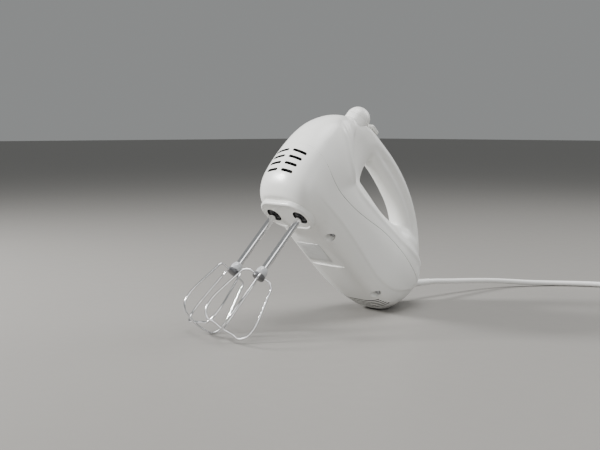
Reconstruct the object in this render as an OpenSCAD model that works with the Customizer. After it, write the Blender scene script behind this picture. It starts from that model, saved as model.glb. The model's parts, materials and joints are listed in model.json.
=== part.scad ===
// Hand mixer, standing at rest on its heel and on the ends of its two whisks.
// Most modules are drawn in the mixer's own frame: x to the mixer's left, y to its
// rear, z up along the beater axes, with the origin in the middle of the socket face.
// stand() then tilts them nose up into the resting frame, where z = 0 is the worktop.

/* [Stance] */
// Nose-up tilt of the resting mixer, degrees
tilt = 45; // [44.9:0.05:45.1]
// Height of the socket face's middle above the worktop
face_height = 112.9; // [112.8:0.05:113.1]
// Distance from that point back to the origin, along the worktop
face_back = 43.5; // [42.5:0.1:44.5]
// Sideways shift that centres the outline, because the right whisk reaches out past the body
face_side = 2; // [1.5:0.1:2.5]

/* [Housing] */
// Half of the housing's width
half_width = 42; // [41.5:0.1:42.5]
// Wall of the housing shells
wall = 2.5; // [2.2:0.1:2.8]
// Where the tail starts to round in
tail_start = 122; // [120:1:124]
// Rearmost point of the tail
tail_end = 200; // [199.5:0.5:201]

/* [Drive] */
// Distance between the two beater axes
beater_spacing = 40.4; // [40.2:0.1:40.6]
// Height of the motor shaft above the socket face
shaft_z = 42; // [42:0.1:42.4]
// Radius of the motor shaft
shaft_r = 3; // [2.9:0.05:3.1]
// Teeth on each worm wheel
wheel_teeth = 29; // [29]
// Starts on the worm
worm_starts = 2; // [2]
// Gear module
gear_module = 1; // [1]

/* [Beaters] */
// Radius of a beater stem
stem_r = 3.5; // [3.3:0.05:3.5]
// Depth of a whisk's tip below the socket face
whisk_tip = 144; // [143.8:0.1:144.4]
// Largest half-width of a whisk
whisk_r = 26; // [25:0.1:26.5]
// Radius of the whisk wire
wire_r = 1.1; // [1:0.05:1.2]
// Turn of the left whisk about its axis, degrees
left_phase = -38; // [-40:1:-36]
// Turn of the right whisk, about an eighth of a turn out of step so that the wires pass each other
right_phase = 79; // [77:1:83]

/* [Cord] */
// Radius of the power cord
cord_r = 3.25; // [3:0.05:3.5]
// Mean radius of the coil of spare cord
coil_r = 36; // [34:0.5:38]

/* [Hidden] */

$fn = 48;
half_spacing = beater_spacing / 2;

// ---- outlines of the housing -------------------------------------------------

// Points on each ring of a lofted shell
ring_points = 24;
// Main body along y: [y, lowest z, z of the widest line, highest z, squareness of the base]
body_stations = [
    [-5, 5, 38, 91, 5], [20, 5, 38, 91, 5], [50, 2.5, 38, 91, 5], [90, 2, 38, 91, 5],
    [120, 2.5, 38, 97, 4.6], [140, 4, 40, 108, 4], [155, 6.5, 43, 110, 3.5], [165, 9.2, 46, 107, 3.2],
    [173, 13.4, 50, 102, 3], [180, 20.5, 54, 97, 2.8], [186, 30, 58, 93, 2.6], [191, 41, 62, 89, 2.5],
    [195, 51, 66, 86, 2.4], [198.5, 61, 71, 81, 2.4]
];
body_top_power = 2.2;
tail_power = 2.2;
// Nose and gear dome along z: [z, front y, rear y, half-width]
nose_stations = [
    [5, -27, 30, 35], [9, -32, 36, 38.5], [15, -37, 36, 40.5], [25, -41.5, 36, 42], [39, -44, 36, 42],
    [57, -45, 36, 42], [70, -45, 36, 41], [84, -44, 26, 38], [98, -41, 12, 33], [110, -36, 4, 27],
    [121, -29, 2, 20], [130, -19, 2, 13], [136, -9, 0, 6]
];
nose_power = 2.5;
// Pillar under the front of the handle, along z: [z, front y, rear y, half-width]
pillar_stations = [
    [78, -10, 58, 27], [90, -12, 47, 21], [105, -14, 42, 18], [118, -16, 42, 16.5],
    [130, -14, 46, 16], [142, -10, 54, 14]
];
// Handle: [y, z, slope in degrees, half-thickness, half-width]
handle_stations = [
    [0, 131, 4, 14, 12], [20, 134.5, 2, 15, 14.5], [45, 136, 0, 15, 15], [70, 136, -3, 15.2, 15.2],
    [95, 133, -11, 15, 15.4], [118, 127, -20, 14.2, 15.6], [138, 117.5, -32, 14.5, 16],
    [154, 105, -44, 16, 17], [167, 90, -56, 18, 18.5], [175, 75, -66, 19, 20]
];
handle_power = 2.2;
// Part line between the two housings, in the plane of symmetry, front to rear
seam_line = [
    [-60, 67], [-45, 63.5], [-30, 57], [-12, 48.6], [5, 45.4], [22, 45.8], [41, 48.5], [61, 53.4],
    [86, 60.6], [108, 64.3], [129, 65], [150, 64.5], [186, 65], [220, 66]
];

// ---- places ------------------------------------------------------------------

housing_screw_x = 32;
housing_screw_ys = [37, 134];
// Heights that the front and rear screws reach
housing_screw_tops = [66, 74];
// Depth of the screw recess up into the lower housing
screw_seat_z = 14;
button_y = 2;
button_z = 146;
button_r = 13.5;
button_gap = 0.6;
slider_y = 19;
slider_z = 151.4;
slider_travel = 20;
// The rear wall where the cord leaves, and the length of the strain relief
exit_y = 194.5;
exit_z = 65.5;
relief_inside = 12;
relief_length = 58;
// The cord leaves pointing a little down
exit_dip = 3;

gear_z = shaft_z;
wheel_pitch_r = gear_module * wheel_teeth / 2;
worm_pitch_r = half_spacing - wheel_pitch_r;
worm_lead = PI * gear_module * worm_starts;
lead_angle = atan(worm_lead / (2 * PI * worm_pitch_r));
wheel_face = 6;
hub_r = 7;
socket_r = stem_r + 0.08;
stem_top = 47;
hex_bottom = 30;
pin_travel = 5;

stator_front = 62;
stator_rear = 90;
stator_w = 60;
stator_h = 54;
bore_r = 15.3;
tie_x = 26;
tie_z = 24;
bracket_y = 115;

collar_z = -74;

// ---- general shapes ----------------------------------------------------------

function signed_power(v, e) = (v < 0 ? -1 : 1) * pow(abs(v), e);
function unit(v) = v / norm(v);

// Solid through a list of closed rings, each a list of points
module loft(rings) {
    n = len(rings[0]);
    last = len(rings) - 1;
    points = [for (ring = rings) each ring];
    sides = [
        for (i = [0:last - 1]) for (j = [0:n - 1]) let (k = (j + 1) % n)
            each [
                [i * n + j, i * n + k, (i + 1) * n + k],
                [i * n + j, (i + 1) * n + k, (i + 1) * n + j]
            ]
    ];
    front = [for (j = [n - 1:-1:0]) j];
    back = [for (j = [0:n - 1]) last * n + j];
    polyhedron(points = points, faces = concat([front], sides, [back]));
}

// Round tube along a path; up keeps its rings from twisting
function tube_ring(p, t, up, r, sides) =
    let (b = unit(up - (up * t) * t), a = cross(t, b))
    [for (j = [0:sides - 1]) p + r * (cos(360 * j / sides) * a + sin(360 * j / sides) * b)];
function path_tangent(path, i) =
    unit(path[min(i + 1, len(path) - 1)] - path[max(i - 1, 0)]);
module tube(path, r, up = [0, 0, 1], sides = 8) {
    loft([for (i = [0:len(path) - 1]) tube_ring(path[i], path_tangent(path, i), up, r, sides)]);
}

// Smooth curve through points, with steps pieces between two of them
function curve_point(a, b, c, d, t) =
    0.5 * (2 * b + (c - a) * t + (2 * a - 5 * b + 4 * c - d) * t * t
        + (3 * b - a - 3 * c + d) * t * t * t);
function curve(p, steps) =
    let (last = len(p) - 1)
    [
        for (i = [0:last - 1]) for (k = [0:steps - 1])
            curve_point(p[max(i - 1, 0)], p[i], p[i + 1], p[min(i + 2, last)], k / steps),
        p[last]
    ];

// Coil spring standing on z = 0
module coil_spring(r, wire, height, turns, per_turn = 12, sides = 6) {
    steps = turns * per_turn;
    path = [
        for (i = [0:steps])
            let (a = 360 * i / per_turn)
            [r * cos(a), r * sin(a), wire + (height - 2 * wire) * i / steps]
    ];
    loft([
        for (i = [0:steps])
            let (a = 360 * i / per_turn)
            tube_ring(path[i], path_tangent(path, i), [cos(a), sin(a), 0], wire, sides)
    ]);
}

// Cylinder lying along y from y0 to y1
module rod_y(r, y0, y1) {
    translate([0, y0, 0]) rotate([-90, 0, 0]) cylinder(r = r, h = y1 - y0);
}

// Flat slab centred on x, with rounded corners, spanning y0 to y1 and z0 to z1
module slab(w, y0, y1, z0, z1, r = 4) {
    translate([0, (y0 + y1) / 2, z0]) linear_extrude(z1 - z0) rounded_rect(w, y1 - y0, r);
}

module rounded_rect(w, h, r) {
    square([w, h - 2 * r], center = true);
    square([w - 2 * r, h], center = true);
    for (x = [-1, 1], y = [-1, 1]) translate([x * (w / 2 - r), y * (h / 2 - r)]) circle(r);
}

// From the mixer's frame to the resting frame
module stand() {
    translate([face_side, -face_back, face_height]) rotate([-tilt, 0, 0]) children();
}

module both_sides(x) {
    for (s = [-1, 1]) translate([s * x, 0, 0]) children();
}

// ---- housing solids ----------------------------------------------------------

function body_half_width(y) =
    y <= tail_start ? half_width
    : half_width * pow(1 - pow((y - tail_start) / (tail_end - tail_start), tail_power), 1 / tail_power);
// Ring of the body at one station, drawn in by skin
function body_ring(s, skin) = [
    for (j = [0:ring_points - 1])
        let (
            a = 360 * j / ring_points,
            low = sin(a) < 0,
            n = low ? s[4] : body_top_power,
            h = low ? s[2] - s[1] - skin : s[3] - s[2] - skin
        )
        [
            (body_half_width(s[0]) - skin) * signed_power(cos(a), 2 / n),
            s[0],
            s[2] + h * signed_power(sin(a), 2 / n)
        ]
];
function plan_ring(s, skin, power, z) = [
    for (j = [0:ring_points - 1])
        let (a = 360 * j / ring_points, mid = (s[1] + s[2]) / 2, half = (s[2] - s[1]) / 2 - skin)
        [
            (s[3] - skin) * signed_power(cos(a), 2 / power),
            mid - half * signed_power(sin(a), 2 / power),
            z
        ]
];
function handle_ring(s, skin) = [
    for (j = [0:ring_points - 1])
        let (
            a = 360 * j / ring_points,
            up = (s[3] - skin) * signed_power(sin(a), 2 / handle_power)
        )
        [
            (s[4] - skin) * signed_power(cos(a), 2 / handle_power),
            s[0] - up * sin(s[2]),
            s[1] + up * cos(s[2])
        ]
];

module body_solid() {
    loft([for (s = body_stations) body_ring(s, 0)]);
}
module body_hollow() {
    last = len(body_stations) - 2;
    loft([for (i = [0:last]) body_ring(body_stations[i], wall)]);
}
module nose_solid() {
    loft([for (s = nose_stations) plan_ring(s, 0, nose_power, s[0])]);
}
module nose_hollow() {
    last = len(nose_stations) - 2;
    end = nose_stations[last];
    loft([
        for (i = [0:last]) let (s = nose_stations[i]) plan_ring(s, wall, nose_power, max(s[0], 5 + wall)),
        plan_ring(end, 2 * wall, nose_power, end[0] + wall)
    ]);
}
module pillar_solid() {
    loft([for (s = pillar_stations) plan_ring(s, 0, nose_power, s[0])]);
}
module pillar_hollow() {
    loft([for (s = pillar_stations) plan_ring(s, wall, nose_power, s[0])]);
}
module handle_solid() {
    loft([for (s = handle_stations) handle_ring(s, 0)]);
}
module handle_hollow() {
    loft([for (s = handle_stations) handle_ring(s, wall)]);
}

// Everything under the part line
module below_seam() {
    bottom = -20;
    outline = concat([[-60, bottom]], seam_line, [[220, bottom]]);
    // The outline is drawn in the y-z plane and thickened along x
    rotate([90, 0, 90]) translate([0, 0, -60]) linear_extrude(120) polygon(outline);
}

// Oval pad that holds the two sockets
module socket_pad(extra = 0) {
    translate([0, -1, 0]) linear_extrude(9) scaled_oval(35 + extra, 20 + extra);
}
module scaled_oval(a, b) {
    square([2 * (a - b), 2 * b], center = true);
    for (s = [-1, 1]) translate([s * (a - b), 0]) circle(b);
}

// Posts and bosses that stand in the hollow of the housing
module housing_posts() {
    for (y = housing_screw_ys, s = [-1, 1]) translate([s * housing_screw_x, y, 0]) {
        cylinder(r = 6.5, h = screw_seat_z + 2);
        cylinder(r = 4, h = 90);
    }
    // Feet of the gearbox frame
    for (x = [-24, 24], y = [-15, 21]) translate([x, y, 0]) cylinder(r = 4, h = 14);
    // Cradle ribs under the stator
    for (y = [66, 82]) translate([-22, y, 0]) cube([44, 4, 12]);
}

module screw_holes() {
    for (i = [0, 1], s = [-1, 1]) translate([s * housing_screw_x, housing_screw_ys[i], 0]) {
        translate([0, 0, -10]) cylinder(r = 5.0, h = 10 + screw_seat_z);
        cylinder(r = 1.6, h = housing_screw_tops[i] + 1);
    }
}

module nose_vents() {
    rows = [[53.5, 22.5], [45, 21.3], [36.5, 20], [28, 19]];
    for (row = rows, s = [-1, 1]) translate([s * (row[1] + 3.5) / 2, -45, row[0]])
        cube([row[1] - 3.5, 24, 2.8], center = true);
}

module heel_vents() {
    for (i = [0:4]) translate([0, 145 + 4 * i, 0]) cube([60, 1.6, 36], center = true);
}

// Way out for the cord, through the rear wall along the worktop
module cord_way(r) {
    translate([0, exit_y, exit_z]) rotate([tilt - 90 - exit_dip, 0, 0]) cylinder(r = r, h = 40, center = true);
}

module upper_housing() color([0.9, 0.9, 0.88]) stand() {
    difference() {
        union() {
            body_solid();
            nose_solid();
            pillar_solid();
            handle_solid();
        }
        below_seam();
        difference() {
            union() {
                body_hollow();
                nose_hollow();
                pillar_hollow();
                handle_hollow();
            }
            housing_posts();
            // Shelf that guides the eject rod
            translate([0, button_y, 112]) cylinder(r = 18, h = 4);
        }
        translate([0, button_y, 105]) cylinder(r = 4, h = 20);
        translate([0, button_y, 121]) cylinder(r = button_r + button_gap, h = 63);
        translate([-3, slider_y + 3, 144]) cube([6, slider_travel + 9, 20]);
        screw_holes();
        cord_way(5.5);
    }
}

module lower_housing() color([0.9, 0.9, 0.88]) stand() {
    difference() {
        intersection() {
            union() {
                body_solid();
                nose_solid();
                socket_pad();
            }
            below_seam();
        }
        difference() {
            union() {
                body_hollow();
                nose_hollow();
            }
            housing_posts();
        }
        both_sides(half_spacing) translate([0, 0, -1]) cylinder(r = 8.8, h = 12);
        screw_holes();
        nose_vents();
        heel_vents();
        rating_recess();
        cord_way(5.5);
    }
}

module rating_recess() {
    slab(60, 26, 82, -2, 3.2, 3);
}

module rating_plate() color([0.8, 0.8, 0.79]) stand()
    translate([-6, 0, 0]) slab(36, 46, 76, 2.8, 3.2, 2);

module housing_screws() color([0.55, 0.55, 0.57]) stand()
    for (i = [0, 1], s = [-1, 1])
        translate([s * housing_screw_x, housing_screw_ys[i], screw_seat_z]) {
            translate([0, 0, -2.4]) cylinder(r = 3.4, h = 2.4);
            cylinder(r = 1.6, h = housing_screw_tops[i] - screw_seat_z);
        }

// ---- controls ----------------------------------------------------------------

module eject_button() color([0.93, 0.93, 0.91]) stand() translate([0, button_y, 0])
    difference() {
        union() {
            translate([0, 0, button_z]) sphere(r = button_r);
            translate([0, 0, 128]) cylinder(r = button_r, h = button_z - 128);
        }
        translate([0, 0, 100]) cylinder(r = 60, h = 28);
        translate([0, 0, 127]) cylinder(r = button_r - 2.5, h = button_z - 127);
        translate([0, 0, 127]) cylinder(r = 3.5, h = 25);
    }

module eject_rod() color([0.3, 0.3, 0.32]) stand() {
    translate([0, button_y, 62.5]) cylinder(r = 3.5, h = 89.5);
    slab(56, -5, 7, 62.5, 65.5, 4);
}

module eject_spring() color([0.75, 0.75, 0.77]) stand()
    translate([0, button_y, 116]) coil_spring(7, 0.7, button_z - 116, 6);

module speed_slider() color([0.88, 0.88, 0.86]) stand() translate([0, slider_y, 0]) {
    difference() {
        translate([0, 7, slider_z]) linear_extrude(3.8) rounded_rect(13, 14, 3);
        for (i = [0:4]) translate([-8, 2.1 + 2.2 * i, slider_z + 3]) cube([16, 1, 2]);
    }
    translate([-2.4, 4.5, 140.8]) cube([4.8, 5, slider_z - 140.6]);
}

module speed_switch() color([0.2, 0.2, 0.22]) stand() {
    difference() {
        slab(17, 22, 60, 127, 141, 1);
        // Groove that the slider's foot runs in
        translate([-2.8, 23, 140.5]) cube([5.6, 28, 2]);
    }
}

module speed_board() color([0.15, 0.4, 0.2]) stand() {
    slab(18, 66, 92, 129, 130.6, 1);
    translate([0, 74, 130.6]) cylinder(r = 4, h = 8);
    translate([-7, 81, 130.6]) cube([14, 6, 5]);
}

// ---- gearbox -----------------------------------------------------------------

module gearbox_frame() color([0.62, 0.63, 0.65]) stand()
    difference() {
        union() {
            slab(60, -22, 30, 14, 18, 6);
            slab(34, -23, -15, 14, 50, 2);
            translate([-16, 24, 14]) cube([32, 6, 56]);
            // Wings that take the motor's screws
            translate([-29.5, 24, 14]) cube([59, 6, 9]);
            translate([-29.5, 24, 61]) cube([59, 6, 9]);
        }
        translate([0, 0, shaft_z]) rod_y(7, -24, -15);
        translate([0, 0, shaft_z]) rod_y(8, 23, 31);
        both_sides(half_spacing) translate([0, 0, 13]) cylinder(r = 9.5, h = 6);
        for (x = [-12, 12]) translate([x, -19, 45]) cylinder(r = 1.5, h = 6);
        for (x = [-tie_x, tie_x], z = [-tie_z, tie_z])
            translate([x, 0, shaft_z + z]) rod_y(1.5, 23, 31);
    }

module gearbox_cover() color([0.3, 0.3, 0.32]) stand()
    difference() {
        slab(60, -22, 23.5, 50, 53, 6);
        both_sides(half_spacing) translate([0, 0, 49]) cylinder(r = 9.5, h = 5);
        for (x = [-12, 12]) translate([x, -19, 49]) cylinder(r = 1.5, h = 5);
    }

module gearbox_screws() color([0.7, 0.7, 0.72]) stand()
    for (x = [-12, 12]) translate([x, -19, 46]) {
        cylinder(r = 1.5, h = 7);
        translate([0, 0, 7]) cylinder(r = 2.8, h = 2);
    }

module gear_bush(z0, z1) {
    translate([0, 0, z0]) difference() {
        cylinder(r = 9.5, h = z1 - z0);
        translate([0, 0, -1]) cylinder(r = hub_r + 0.05, h = z1 - z0 + 2);
    }
}

module lower_gear_bushes() color([0.72, 0.55, 0.3]) stand()
    both_sides(half_spacing) gear_bush(12.5, 18.5);

module upper_gear_bushes() color([0.72, 0.55, 0.3]) stand()
    both_sides(half_spacing) gear_bush(49.5, 53);

// Outline of a worm wheel with the middle of a gap at angle phase
function wheel_outline(phase) =
    let (
        step = 360 / wheel_teeth,
        root_r = wheel_pitch_r - 1.25 * gear_module,
        tip_r = wheel_pitch_r + 0.9 * gear_module,
        root_half = (1.0 / root_r) * 180 / PI,
        tip_half = (0.36 / tip_r) * 180 / PI
    )
    [
        for (k = [0:wheel_teeth - 1])
            let (a = phase + (k + 0.5) * step)
            each [
                root_r * [cos(a - root_half), sin(a - root_half)],
                tip_r * [cos(a - tip_half), sin(a - tip_half)],
                tip_r * [cos(a + tip_half), sin(a + tip_half)],
                root_r * [cos(a + root_half), sin(a + root_half)]
            ]
    ];

// Worm wheel and its hollow hub, which is the beater's socket
module worm_wheel(phase) {
    turn = wheel_face * tan(lead_angle) / wheel_pitch_r * 180 / PI;
    difference() {
        union() {
            translate([0, 0, gear_z - wheel_face / 2]) rotate([0, 0, -turn / 2])
                linear_extrude(wheel_face, twist = -turn, slices = 3) polygon(wheel_outline(phase));
            translate([0, 0, 2.5]) cylinder(r = hub_r, h = 51.5);
            translate([0, 0, 18.7]) cylinder(r = 9, h = gear_z - 18.7);
            translate([0, 0, gear_z]) cylinder(r = 9, h = 7.3);
        }
        translate([0, 0, 2]) cylinder(r = socket_r, h = hex_bottom - 2);
        translate([0, 0, hex_bottom - 1]) cylinder(r = socket_r, h = stem_top + 1.5 - hex_bottom, $fn = 6);
        cylinder(r = 2.6, h = 60);
        // Flutes at the mouth, seen from below
        for (i = [0:5]) rotate([0, 0, 60 * i]) translate([socket_r, 0, 2]) cylinder(r = 1.2, h = 4);
    }
}

module left_gear() color([0.25, 0.25, 0.27]) stand() translate([half_spacing, 0, 0]) worm_wheel(180);
module right_gear() color([0.25, 0.25, 0.27]) stand() translate([-half_spacing, 0, 0]) worm_wheel(0);

module ejector_pin() {
    translate([0, 0, stem_top + 0.2]) cylinder(r = 2.5, h = 13);
    translate([0, 0, 59.8]) cylinder(r = 4.5, h = 2.4);
}
module left_ejector_pin() color([0.8, 0.8, 0.82]) stand()
    translate([half_spacing, 0, 0]) ejector_pin();
module right_ejector_pin() color([0.8, 0.8, 0.82]) stand()
    translate([-half_spacing, 0, 0]) ejector_pin();

// ---- beaters -----------------------------------------------------------------

module beater_stem() {
    translate([0, 0, collar_z]) cylinder(r = stem_r, h = hex_bottom - collar_z);
    translate([0, 0, hex_bottom]) cylinder(r = stem_r, h = stem_top - hex_bottom, $fn = 6);
}

// Light plastic cup above the dark ring
module beater_collar() {
    translate([0, 0, collar_z]) difference() {
        union() {
            cylinder(r = 5.8, h = 4);
            translate([0, 0, 4]) cylinder(r1 = 5.8, r2 = 4.4, h = 4);
        }
        cylinder(r = stem_r, h = 8);
    }
}
module beater_ring() {
    translate([0, 0, collar_z - 4.5]) cylinder(r = 6.4, h = 4.5);
}

// Half of a wire loop, from the ring out to the shoulder and down to the tip: [out, z]
function half_loop(lift) = [
    [5, collar_z - 3.38 + lift], [11, collar_z - 3.38 + lift], [15.5, collar_z - 4], [17.6, collar_z - 7.5],
    [18.6, collar_z - 13], [21.8, -102], [24.6, -117], [whisk_r - wire_r, -127],
    [23.2, -134.5], [18, -140], [10, 1 - whisk_tip + wire_r + lift], [0, wire_r - whisk_tip + lift]
];
module wire_loop(angle, lift) {
    half = half_loop(lift);
    last = len(half) - 1;
    outline = concat(half, [for (i = [last - 1:-1:0]) [-half[i][0], half[i][1]]]);
    path = curve([for (p = outline) [p[0], 0, p[1]]], 2);
    rotate([0, 0, angle]) tube(path, wire_r, [0, 1, 0], 8);
}

module left_beater_stem() color([0.8, 0.8, 0.82]) stand()
    translate([half_spacing, 0, 0]) beater_stem();
module left_beater_collar() color([0.85, 0.85, 0.84]) stand() translate([half_spacing, 0, 0]) beater_collar();
module left_beater_ring() color([0.25, 0.25, 0.27]) stand() translate([half_spacing, 0, 0]) beater_ring();
module left_whisk_long() color([0.8, 0.8, 0.82]) stand()
    translate([half_spacing, 0, 0]) wire_loop(left_phase, 0);
module left_whisk_short() color([0.8, 0.8, 0.82]) stand()
    translate([half_spacing, 0, 0]) wire_loop(left_phase + 90, 2.25);

module right_beater_stem() color([0.8, 0.8, 0.82]) stand() translate([-half_spacing, 0, 0]) beater_stem();
module right_beater_collar() color([0.85, 0.85, 0.84]) stand() translate([-half_spacing, 0, 0]) beater_collar();
module right_beater_ring() color([0.25, 0.25, 0.27]) stand() translate([-half_spacing, 0, 0]) beater_ring();
module right_whisk_long() color([0.8, 0.8, 0.82]) stand()
    translate([-half_spacing, 0, 0]) wire_loop(right_phase, 0);
module right_whisk_short() color([0.8, 0.8, 0.82]) stand()
    translate([-half_spacing, 0, 0]) wire_loop(right_phase + 90, 2.25);

// ---- motor -------------------------------------------------------------------

module on_shaft() {
    stand() translate([0, 0, shaft_z]) children();
}

module motor_shaft() color([0.75, 0.75, 0.77]) on_shaft() rod_y(shaft_r, -20, 121);

// Thread outline across the shaft: one lobe per start
function worm_outline() =
    let (
        tip_r = worm_pitch_r + 0.9 * gear_module,
        root_r = worm_pitch_r - 1.3 * gear_module,
        tip_half = 0.3 / worm_lead * 360,
        root_half = 0.95 / worm_lead * 360
    )
    [
        for (k = [0:worm_starts - 1])
            let (a = 360 * k / worm_starts)
            each [
                for (b = [-root_half, -tip_half, 0, tip_half, root_half, 75, 90, 105])
                    let (r = abs(b) <= tip_half ? tip_r : root_r)
                    r * [cos(a + b), sin(a + b)]
            ]
    ];
module worm() color([0.7, 0.7, 0.72]) on_shaft() {
    length = 22;
    turn = 360 * length / worm_lead;
    difference() {
        translate([0, -length / 2, 0]) rotate([-90, 0, 0]) rotate([0, 0, -turn / 2])
            linear_extrude(length, twist = -turn, slices = 56) polygon(worm_outline());
        rod_y(shaft_r, -20, 20);
    }
}

module armature_core() color([0.45, 0.45, 0.47]) on_shaft()
    translate([0, stator_front, 0]) rotate([-90, 0, 0]) linear_extrude(stator_rear - stator_front)
        difference() {
            circle(bore_r - 0.6);
            circle(shaft_r);
            for (i = [0:11]) rotate(30 * i) {
                translate([11, 0]) circle(1.6);
                translate([11, -0.6]) square([6, 1.2]);
            }
        }

module armature_winding() color([0.7, 0.35, 0.15]) on_shaft()
    for (y = [54, 90]) translate([0, y, 0]) rotate([-90, 0, 0]) difference() {
        rotate_extrude() {
            translate([shaft_r, 0]) square([8, 8]);
            translate([11, 1.5]) square([2.5, 5]);
            translate([11, 2.5]) circle(2.5);
            translate([11, 5.5]) circle(2.5);
        }
        cylinder(r = shaft_r, h = 20, center = true);
    }

module commutator() color([0.75, 0.45, 0.25]) on_shaft()
    difference() {
        rod_y(9, 100, 112);
        rod_y(shaft_r, 99, 113);
        for (i = [0:11]) rotate([0, 30 * i, 0]) translate([8, 99, -0.25]) cube([3, 14, 0.5]);
    }

module fan() color([0.2, 0.2, 0.22]) on_shaft()
    difference() {
        union() {
            rod_y(7, 36, 48);
            rod_y(24.5, 46.5, 48);
            for (i = [0:8]) rotate([0, 40 * i, 0]) translate([6, 38, -0.7]) cube([18, 9, 1.4]);
        }
        rod_y(shaft_r, 30, 50);
    }

module shaft_bush(r, y0, y1) {
    difference() {
        rod_y(r, y0, y1);
        rod_y(shaft_r + 0.05, y0 - 1, y1 + 1);
    }
}
module nose_bearing() color([0.72, 0.55, 0.3]) on_shaft() shaft_bush(7, -21, -15);
module front_bearing() color([0.72, 0.55, 0.3]) on_shaft() shaft_bush(8, 24, 30);
module rear_bearing() color([0.72, 0.55, 0.3]) on_shaft() shaft_bush(7, bracket_y, bracket_y + 6);

module motor_stator() color([0.5, 0.5, 0.52]) on_shaft()
    translate([0, stator_front, 0]) rotate([-90, 0, 0]) linear_extrude(stator_rear - stator_front)
        difference() {
            union() {
                difference() {
                    rounded_rect(stator_w, stator_h, 4);
                    square([stator_w - 10, stator_h - 10], center = true);
                }
                for (s = [-1, 1]) {
                    translate([0, s * 19.5]) square([16, 7], center = true);
                    intersection() {
                        circle(bore_r + 2.7);
                        translate([0, s * 12]) square([29, 14], center = true);
                    }
                }
            }
            circle(bore_r);
            for (x = [-tie_x, tie_x], z = [-tie_z, tie_z]) translate([x, z]) circle(1.6);
        }

module field_coils() color([0.72, 0.36, 0.16]) on_shaft()
    for (s = [-1, 1]) translate([0, 0, s > 0 ? 18.1 : -21.9])
        difference() {
            slab(47, stator_front - 6, stator_rear + 6, 0, 3.8, 5);
            translate([-8.2, stator_front - 0.4, -1]) cube([16.4, stator_rear - stator_front + 0.8, 6]);
        }

module rear_bracket() color([0.35, 0.35, 0.37]) on_shaft()
    difference() {
        union() {
            translate([-12, bracket_y, -12]) cube([24, 4, 24]);
            for (s = [-1, 1]) rotate([0, s * 42.7, 0]) translate([-36, bracket_y, -4]) cube([72, 4, 8]);
            rod_y(10, bracket_y, bracket_y + 6);
        }
        rod_y(7, bracket_y - 1, bracket_y + 8);
        for (x = [-tie_x, tie_x], z = [-tie_z, tie_z]) translate([x, 0, z]) rod_y(1.5, 100, 130);
    }

module motor_screws() color([0.7, 0.7, 0.72]) on_shaft()
    for (x = [-tie_x, tie_x], z = [-tie_z, tie_z]) translate([x, 0, z]) {
        rod_y(1.5, 24, bracket_y + 4);
        rod_y(2.8, bracket_y + 4, bracket_y + 6);
    }

module motor_pads() color([0.15, 0.15, 0.16]) stand()
    for (y = [66, 82]) translate([-18, y, 12]) cube([36, 4, shaft_z - stator_h / 2 - 12]);

module brush_holders() color([0.78, 0.65, 0.35]) on_shaft()
    for (s = [-1, 1]) translate([s * 17.5, 106, 0]) difference() {
        union() {
            cube([15, 8, 8], center = true);
            // Foot that carries the holder from the bracket
            translate([0, 6.5, 0]) cube([6, 5, 8], center = true);
        }
        cube([20, 5.2, 5.2], center = true);
    }

module carbon_brushes() color([0.12, 0.12, 0.12]) on_shaft()
    for (s = [-1, 1]) translate([s * 13.2, 106, 0]) cube([8, 5, 5], center = true);

module brush_springs() color([0.75, 0.75, 0.77]) on_shaft()
    for (s = [-1, 1]) translate([s * 17.3, 106, 0]) rotate([0, 90 * s, 0]) coil_spring(1.9, 0.3, 7.5, 5, 8);

// ---- electrics ---------------------------------------------------------------

module suppressor_capacitor() color([0.75, 0.6, 0.2]) stand()
    translate([-19, 126, 10]) cube([15, 7, 13]);

module terminal_block() color([0.9, 0.9, 0.88]) stand() translate([2, 148, 14]) {
    difference() {
        cube([18, 12, 10]);
        for (i = [0:1]) translate([4.5 + 9 * i, 6, 6]) cylinder(r = 2, h = 10);
    }
}

// Three leads: switch to motor, switch to terminals, board to brushes
lead_routes = [
    [[-4, 34, 126.9], [-4, 33, 110], [-5, 36, 88], [-8, 56, 79], [-14, 84, 78], [-16, 104, 66], [-17.5, 106, 46.2]],
    [[4, 34, 126.9], [4, 33, 110], [5, 36, 88], [8, 56, 79], [14, 84, 78], [16, 104, 66], [17.5, 106, 46.2]],
    [[6.5, 154, 22], [6.5, 158, 40], [6, 162, 70], [4, 158, 98], [3, 142, 114], [2, 122, 123], [0, 100, 127.2],
        [0, 91, 127.8]],
    [[15.5, 154, 22], [14, 158, 32], [8, 166, 41], [0, 174, 47], [0, 179, 52], [0, 184, 57]]
];
module inner_leads() color([0.2, 0.3, 0.6]) stand()
    for (route = lead_routes) tube(curve(route, 3), 1.1, [1, 0, 0], 6);

module cord_clamp() color([0.9, 0.9, 0.88]) stand() translate([0, exit_y, exit_z])
    rotate([tilt - exit_dip, 0, 0]) difference() {
        translate([-11, -22, -8]) cube([22, 8, 16]);
        rod_y(cord_r + 0.5, -30, 0);
    }

// The relief stands out along the worktop: wide inside the wall, then a long taper
module strain_relief() color([0.9, 0.9, 0.88]) stand() translate([0, exit_y, exit_z])
    rotate([tilt - 90 - exit_dip, 0, 0]) difference() {
        union() {
            translate([0, 0, -relief_inside]) cylinder(r = 6.5, h = 3);
            translate([0, 0, -relief_inside]) cylinder(r = 4.8, h = relief_inside + 3);
            translate([0, 0, 3]) cylinder(r1 = 4.8, r2 = 3.8, h = relief_length - relief_inside - 3);
        }
        translate([0, 0, -relief_inside - 1]) cylinder(r = cord_r, h = relief_inside + 4);
    }

relief_outside = relief_length - relief_inside;
// Where the relief ends, in the resting frame
relief_tip = [
    face_side,
    -face_back + exit_y * cos(tilt) + exit_z * sin(tilt) + relief_outside * cos(exit_dip),
    face_height - exit_y * sin(tilt) + exit_z * cos(tilt) - relief_outside * sin(exit_dip)
];
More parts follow.
